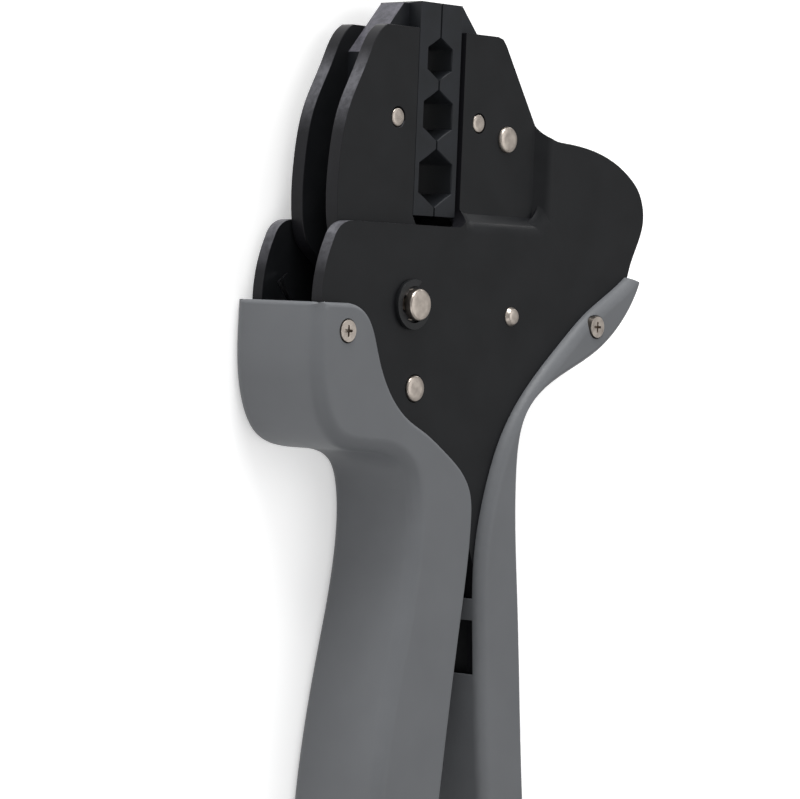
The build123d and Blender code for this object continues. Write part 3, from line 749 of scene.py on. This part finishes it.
@dataclass
class FrameAssembly:
    """The two frame plates with what holds them apart.

    Attributes:
        plate_edge: Broken edge of the plates, in millimetres as all sizes here.
        spacer_edge: Broken edge of the spacers.
        pin_edge: Broken edge of the pins and rivets.
        face_z: Front face of the front plate.
        sunk_z: Floor of the sunk area over the fixed jaw.
        corner: Lower right corner of that floor, where the press leaves it sharp.
        floor_round: Rounding of the solid's corner on the floor, and the share kept.
        face_round: Rounding of the solid's corner on the front face, and the share kept.
        bends: Lower left and upper right end of the area with the pressed bends.
        bend_lean: Least and most that the pressed walls look up.
        shoulder: Width of the soft shoulder on the bends.
        shoulder_strips: How many strips it has.
        pins: The pin ends in the front plate.
    """

    plate_edge: float = 0.18
    spacer_edge: float = 0.1
    pin_edge: float = 0.12
    face_z: float = 8.75
    sunk_z: float = 6.25
    corner: Axis = (36.5, 18.0)
    floor_round: Tuple[float, float] = (3.5, 0.12)
    face_round: Tuple[float, float] = (6.0, 0.3)
    bends: Tuple[Axis, Axis] = ((10.0, 14.0), (42.0, 40.0))
    bend_lean: Span = (0.5, 0.9)
    shoulder: float = 1.4
    shoulder_strips: int = 6
    pins: Tuple[PinEnd, ...] = (
        PinEnd("fixed_jaw_rivet", (27.8, 33.0), radius=2.8, gap=0.14, rise=0.1,
               tilt=2.0, toward=120.0),
        PinEnd("jaw_pivot_pin", (-0.1, -16.0), radius=2.7, gap=0.14, rise=0.1,
               tilt=3.0, toward=60.0),
        PinEnd("pawl_pivot_pin", (28.3, -1.6), radius=2.1, gap=0.14, rise=0.1,
               tilt=5.0, toward=200.0),
    )

    def build(self, shop: Workshop) -> None:
        """Dress the plates, spacers, pins and rivets.

        Args:
            shop: The workshop.
        """
        shop.dress("front_frame_plate", BLACK_OXIDE, self.plate_edge, steps=self._press())
        shop.dress("back_frame_plate", BLACK_OXIDE, self.plate_edge)
        for name in ("fixed_jaw_spacer", "tang_spacer", "grip_screw_spacer", "spring_post"):
            shop.dress(name, QUENCHED, self.spacer_edge)
        for pin in self.pins:
            shop.dress(pin.name, NICKEL, self.pin_edge, steps=pin.steps())
        shop.dress("tang_rivets", NICKEL, self.pin_edge)

    def _press(self) -> Tuple[Step, ...]:
        """Draw the sunk area's corner sharp and give its bends a soft shoulder.

        Returns:
            What is shaped.
        """
        deep = self.face_z - self.sunk_z
        out: List[Step] = []
        for (reach, kept), z, out_by in (
            (self.floor_round, self.sunk_z, 0.0), (self.face_round, self.face_z, deep),
        ):
            x, y = self.corner[0] + out_by, self.corner[1] - out_by
            out.append(Nudge((x - reach - SLACK, y - SLACK, z - SLACK),
                             (x + SLACK, y + reach + SLACK, z + SLACK),
                             spread=(kept, kept, 1.0), about=(x, y, z)))
        low, high = self.bends
        out.append(SoftEdge((*low, self.face_z - SLACK), (*high, self.face_z + SLACK),
                            UPWARDS, self.bend_lean, self.shoulder, self.shoulder_strips))
        return tuple(out)


@dataclass
class JawAssembly:
    """The moving jaw plates and the pair of dies.

    Attributes:
        plate_edge: Broken edge of the plates, in millimetres as all sizes here.
        die_edge: Broken edge of the dies, which are ground nearly sharp.
        pin_edge: Broken edge of the screws, roller and pin.
        parting: Where the dies meet.
        nests: Centre height and corner radius of each hexagon.
        nest_grow: How much wider than the solid's each hexagon is ground.
        face_z: Front face of the dies.
        lead_in: Depth of the hexagons' lead-in on each face.
        tang: The upper end of the fixed die's tang, its lower end and its top, filled out.
        seat: The front jaw plate's edge along the die.
        rear: The back edge of the moving die's block.
        screws: The screw ends in the dies.
    """

    plate_edge: float = 0.18
    die_edge: float = 0.06
    pin_edge: float = 0.1
    parting: float = 7.0
    nests: Tuple[Tuple[float, float], ...] = ((47.3, 3.8), (36.5, 4.6), (24.4, 5.3))
    nest_grow: float = 0.28
    face_z: float = 5.9
    lead_in: float = 0.3
    tang: Tuple[Nudge, ...] = (
        Nudge((14.7, 57.5, -4.0), (14.9, 57.7, 4.0), move=(1.1, 0.4, 0.0)),
        Nudge((23.7, 47.5, -4.0), (23.9, 47.7, 4.0), move=(0.0, 2.0, 0.0)),
        Nudge((13.1, 57.6, -4.0), (13.3, 57.9, 4.0), move=(0.0, 0.316, 0.0)),
    )
    seat: Nudge = Nudge((0.45, 15.0, 2.8), (0.55, 53.0, 6.0), move=(0.28, 0.0, 0.0))
    rear: Nudge = Nudge((0.7, 17.0, -6.0), (0.9, 58.1, -5.0), move=(1.7, 0.0, 0.0))
    screws: Tuple[PinEnd, ...] = (
        PinEnd("moving_die_screw", (-4.6, 35.5), radius=2.0, gap=0.2, rise=0.05,
               tilt=12.0, toward=0.0),
        PinEnd("fixed_die_screw", (19.1, 35.7), radius=2.0, gap=0.2, rise=0.05,
               tilt=12.0, toward=110.0),
    )

    # Half of the angle that a hexagon's side spans, in degrees.
    HALF_SIDE: ClassVar[float] = 30.0

    def build(self, shop: Workshop) -> None:
        """Dress the jaw plates, dies, screws and roller.

        Args:
            shop: The workshop.
        """
        shop.dress("moving_jaw_front_plate", BLACK_OXIDE, self.plate_edge, steps=(self.seat,))
        shop.dress("moving_jaw_back_plate", BLACK_OXIDE, self.plate_edge)
        nests = self._ground()
        shop.dress("moving_die", PHOSPHATE, self.die_edge, steps=(*nests, self.rear))
        shop.dress("fixed_die", PHOSPHATE, self.die_edge, steps=(*nests, *self.tang))
        for screw in self.screws:
            shop.dress(screw.name, NICKEL, self.pin_edge, steps=screw.steps())
        for name in ("cam_roller", "roller_pin"):
            shop.dress(name, NICKEL, self.pin_edge)

    def _ground(self) -> Tuple[Nudge, ...]:
        """Open the hexagons to a thin lead-in.

        Returns:
            One nudge for each hexagon.
        """
        out = []
        deep = self.face_z - self.lead_in
        for y, radius in self.nests:
            share = (radius + self.nest_grow) / radius
            side = radius * math.cos(math.radians(self.HALF_SIDE)) + SLACK
            out.append(Nudge((self.parting - side, y - radius - SLACK, -deep),
                             (self.parting + side, y + radius + SLACK, deep),
                             spread=(share, share, 1.0), about=(self.parting, y, 0.0)))
        return tuple(out)


@dataclass
class DriveAssembly:
    """The eccentric shaft, cam lever, ratchet and springs.

    Attributes:
        shaft: The shaft's end, which the clip holds.
        shaft_edge: Broken edge of the shaft, in millimetres as all sizes here.
        part_edge: Broken edge of the levers, clip, wheel and lock screw.
        wire_smooth: Degrees up to which the springs are shaded smooth.
        wire_room: How far round a bend the spring's points are picked.
        leg_tip: Where the opening spring's leg ends at the ear, and how far that moves.
        leg_bend: Where that leg bends, and how far that moves.
    """

    shaft: PinEnd = PinEnd("handle_shaft", (-2.0, 0.0), radius=3.0, gap=0.0, rise=0.0,
                           tilt=2.0, toward=80.0)
    shaft_edge: float = 0.14
    part_edge: float = 0.08
    wire_smooth: float = 50.0
    wire_room: float = 0.75
    leg_tip: Tuple[Spot, Spot] = ((-28.0, 4.8, -5.3), (5.0, -0.1, 0.6))
    leg_bend: Tuple[Spot, Spot] = ((-26.6, 3.2, -4.4), (1.6, 0.3, 0.0))

    def build(self, shop: Workshop) -> None:
        """Dress the drive's pieces.

        Args:
            shop: The workshop.
        """
        shop.dress(self.shaft.name, NICKEL, self.shaft_edge, steps=self.shaft.steps())
        for name in ("cam_lever", "ratchet_pawl", "pawl_spacers", "star_wheel", "retaining_clip"):
            shop.dress(name, QUENCHED, self.part_edge)
        shop.dress("star_lock_screw", NICKEL, self.part_edge)
        hook = tuple(
            Nudge(tuple(axis - self.wire_room for axis in spot),
                  tuple(axis + self.wire_room for axis in spot), move=move)
            for spot, move in (self.leg_tip, self.leg_bend)
        )
        shop.dress("opening_spring", SPRING_WIRE, 0.0, self.wire_smooth, steps=hook)
        shop.dress("pawl_spring", SPRING_WIRE, 0.0, self.wire_smooth)


@dataclass
class GripAssembly:
    """The two moulded grips and their screws.

    Attributes:
        edge: Broken edge of the mouldings, in millimetres as all sizes here.
        smooth: Degrees up to which the mouldings are shaded smooth.
        block: From the left to the right end of the moving grip's block.
        block_z: Half of its depth, with some room.
        top_y: Its upper end.
        top_lean: Least and most that a face beside that end looks towards the jaws.
        top_round: Rounding of that end.
        top_strips: How many strips the rounding has.
        heads: Axis of each front screw head by its node.
        head_radius: Radius of a screw head, with the room round it.
        head_z: From below a head to over it.
        face_z: A little below a head's face.
        head_share: How far the head is drawn in, so that its seat shows.
        head_rise: How far its face stands proud of the cheek.
        screw_edge: Broken edge of the screws.
        nut_edge: Broken edge of the nut.
    """

    edge: float = 0.4
    smooth: float = 40.0
    block: Span = (-31.0, -10.0)
    block_z: float = 11.1
    top_y: float = -0.2
    top_lean: Span = (-0.4, 0.4)
    top_round: float = 0.9
    top_strips: int = 4
    heads: Tuple[Tuple[str, Axis], ...] = (
        ("moving_grip_screws", (-22.5, -5.4)), ("fixed_grip_screw", (52.9, -3.0)),
    )
    head_radius: float = 2.8
    head_z: Span = (9.6, 11.1)
    face_z: float = 10.95
    head_share: float = 0.9
    head_rise: float = 0.28
    screw_edge: float = 0.12
    nut_edge: float = 0.08

    def build(self, shop: Workshop) -> None:
        """Dress the grips and screws.

        Args:
            shop: The workshop.
        """
        left, right = self.block
        lip = SoftEdge((left, self.top_y - SLACK, -self.block_z),
                       (right, self.top_y + SLACK, self.block_z),
                       JAWWARDS, self.top_lean, self.top_round, self.top_strips)
        shop.dress("moving_grip", NYLON, self.edge, self.smooth, steps=(lip,))
        shop.dress("fixed_grip", NYLON, self.edge, self.smooth)
        for name, at in self.heads:
            shop.dress(name, NICKEL, self.screw_edge, steps=self._head(at))
        shop.dress("fixed_grip_nut", NICKEL, self.nut_edge)

    def _head(self, at: Axis) -> Tuple[Nudge, ...]:
        """Draw a screw head in and lift its face.

        Args:
            at: The screw's axis in tool millimetres.

        Returns:
            A nudge for each.
        """
        (x, y), reach = at, self.head_radius
        high = (x + reach, y + reach, self.head_z[1])
        return (
            Nudge((x - reach, y - reach, self.head_z[0]), high,
                  spread=(self.head_share, self.head_share, 1.0), about=(x, y, GRIP_HALF)),
            Nudge((x - reach, y - reach, self.face_z), high, move=(0.0, 0.0, self.head_rise)),
        )


@dataclass(frozen=True)
class Lamp:
    """A soft box that looks at the tool's middle.

    Attributes:
        name: Its name.
        spot: Where it hangs, in metres.
        size: Its side in metres.
        power: Its power in watts.
    """

    name: str
    spot: Spot
    size: float
    power: float

    def hang(self) -> None:
        """Add the lamp to the scene."""
        lamp = bpy.data.lights.new(self.name, "AREA")
        lamp.energy = self.power
        lamp.size = self.size
        item = bpy.data.objects.new(self.name, lamp)
        item.location = self.spot
        item.rotation_euler = (-Vector(self.spot)).to_track_quat("-Z", "Y").to_euler()
        bpy.context.scene.collection.objects.link(item)


@dataclass
class Studio:
    """Pale floor, soft light and the photograph's camera.

    Attributes:
        eye: Camera place in tool millimetres.
        right: The picture's right in tool axes.
        up: The picture's up in tool axes.
        back: From the tool towards the camera.
        lens: Focal length in millimetres.
        sensor: Width of the sensor in millimetres.
        clip: Nearest and farthest place that the camera sees, in metres.
        floor: Side of the floor in metres.
        veil: White that the floor adds where it is seen, which keeps its shadow pale.
        air: Strength of the plain white light from all round.
        lamps: The soft boxes.
    """

    eye: Spot = (-581.709, -0.879, 501.996)
    right: Spot = (0.649617, 0.040121, 0.759202)
    up: Spot = (-0.008826, 0.998937, -0.045239)
    back: Spot = (-0.760210, 0.022687, 0.649281)
    lens: float = 180.0
    sensor: float = 36.0
    clip: Span = (0.05, 10.0)
    floor: float = 6.0
    veil: float = 0.35
    air: float = 0.55
    lamps: Tuple[Lamp, ...] = (
        Lamp("key_box", (-0.35, 1.2, 0.5), size=0.6, power=7.0),
        Lamp("top_box", (-0.15, 1.25, 0.2), size=0.3, power=8.0),
        Lamp("fill_box", (0.5, 0.2, 1.2), size=0.9, power=3.0),
        Lamp("low_box", (-0.9, -0.7, 0.8), size=0.8, power=2.0),
        Lamp("rake_box", (0.85, 0.75, 0.2), size=0.3, power=1.0),
    )

    def build(self) -> None:
        """Make the floor, the lights, the world and the camera."""
        self._floor()
        for lamp in self.lamps:
            lamp.hang()
        self._world()
        self._camera()
        bpy.context.scene.view_settings.view_transform = "Standard"

    def _floor(self) -> None:
        """Lay a wide floor of white paper under the tool.

        The paper is matt and keeps the tool's soft shadow. It fades to white where the
        camera sees it, straight, in a reflection or through glass.
        """
        clear_selection()
        bpy.ops.mesh.primitive_plane_add(size=self.floor, location=(0, 0, 0))
        floor = bpy.context.object
        floor.name = "studio_floor"
        made = bpy.data.materials.new("white_paper_floor")
        made.use_nodes = True
        tree = made.node_tree
        tree.nodes.clear()
        paper = node(tree, "ShaderNodeBsdfDiffuse", {"Color": WHITE})
        seen = node(tree, "ShaderNodeLightPath")
        direct = node(tree, "ShaderNodeMath", {
            0: seen.outputs["Is Camera Ray"], 1: seen.outputs["Is Glossy Ray"],
        }, operation="ADD", use_clamp=True)
        through = node(tree, "ShaderNodeMath", {
            0: direct.outputs[0], 1: seen.outputs["Is Transmission Ray"],
        }, operation="ADD", use_clamp=True)
        veil = node(tree, "ShaderNodeMath", {
            0: through.outputs[0], 1: self.veil,
        }, operation="MULTIPLY")
        glow = node(tree, "ShaderNodeEmission", {
            "Color": WHITE, "Strength": veil.outputs[0],
        })
        both = node(tree, "ShaderNodeAddShader", {
            0: paper.outputs["BSDF"], 1: glow.outputs["Emission"],
        })
        node(tree, "ShaderNodeOutputMaterial", {"Surface": both.outputs["Shader"]})
        floor.data.materials.append(made)

    def _world(self) -> None:
        """Fill the room with plain white light."""
        world = bpy.data.worlds.new("studio_air")
        bpy.context.scene.world = world
        world.use_nodes = True
        sky = world.node_tree.nodes["Background"]
        sky.inputs["Color"].default_value = WHITE
        sky.inputs["Strength"].default_value = self.air

    def _camera(self) -> None:
        """Set the camera at the photograph's angle."""
        lens = bpy.data.cameras.new("photo_camera")
        lens.sensor_width = self.sensor
        lens.lens = self.lens
        lens.clip_start, lens.clip_end = self.clip
        item = bpy.data.objects.new("photo_camera", lens)
        bpy.context.scene.collection.objects.link(item)
        turn = Matrix((self.right, self.up, self.back)).transposed()
        item.matrix_world = Matrix.Translation(place(*self.eye)) @ turn.to_4x4()
        bpy.context.scene.camera = item


def main() -> None:
    """Dress the tool and light it."""
    logging.basicConfig(level=logging.INFO, format="%(name)s %(message)s")
    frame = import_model()
    shop = Workshop(frame)
    for assembly in (FrameAssembly(), JawAssembly(), DriveAssembly(), GripAssembly()):
        assembly.build(shop)
    Studio().build()


if __name__ == "__main__":
    main()
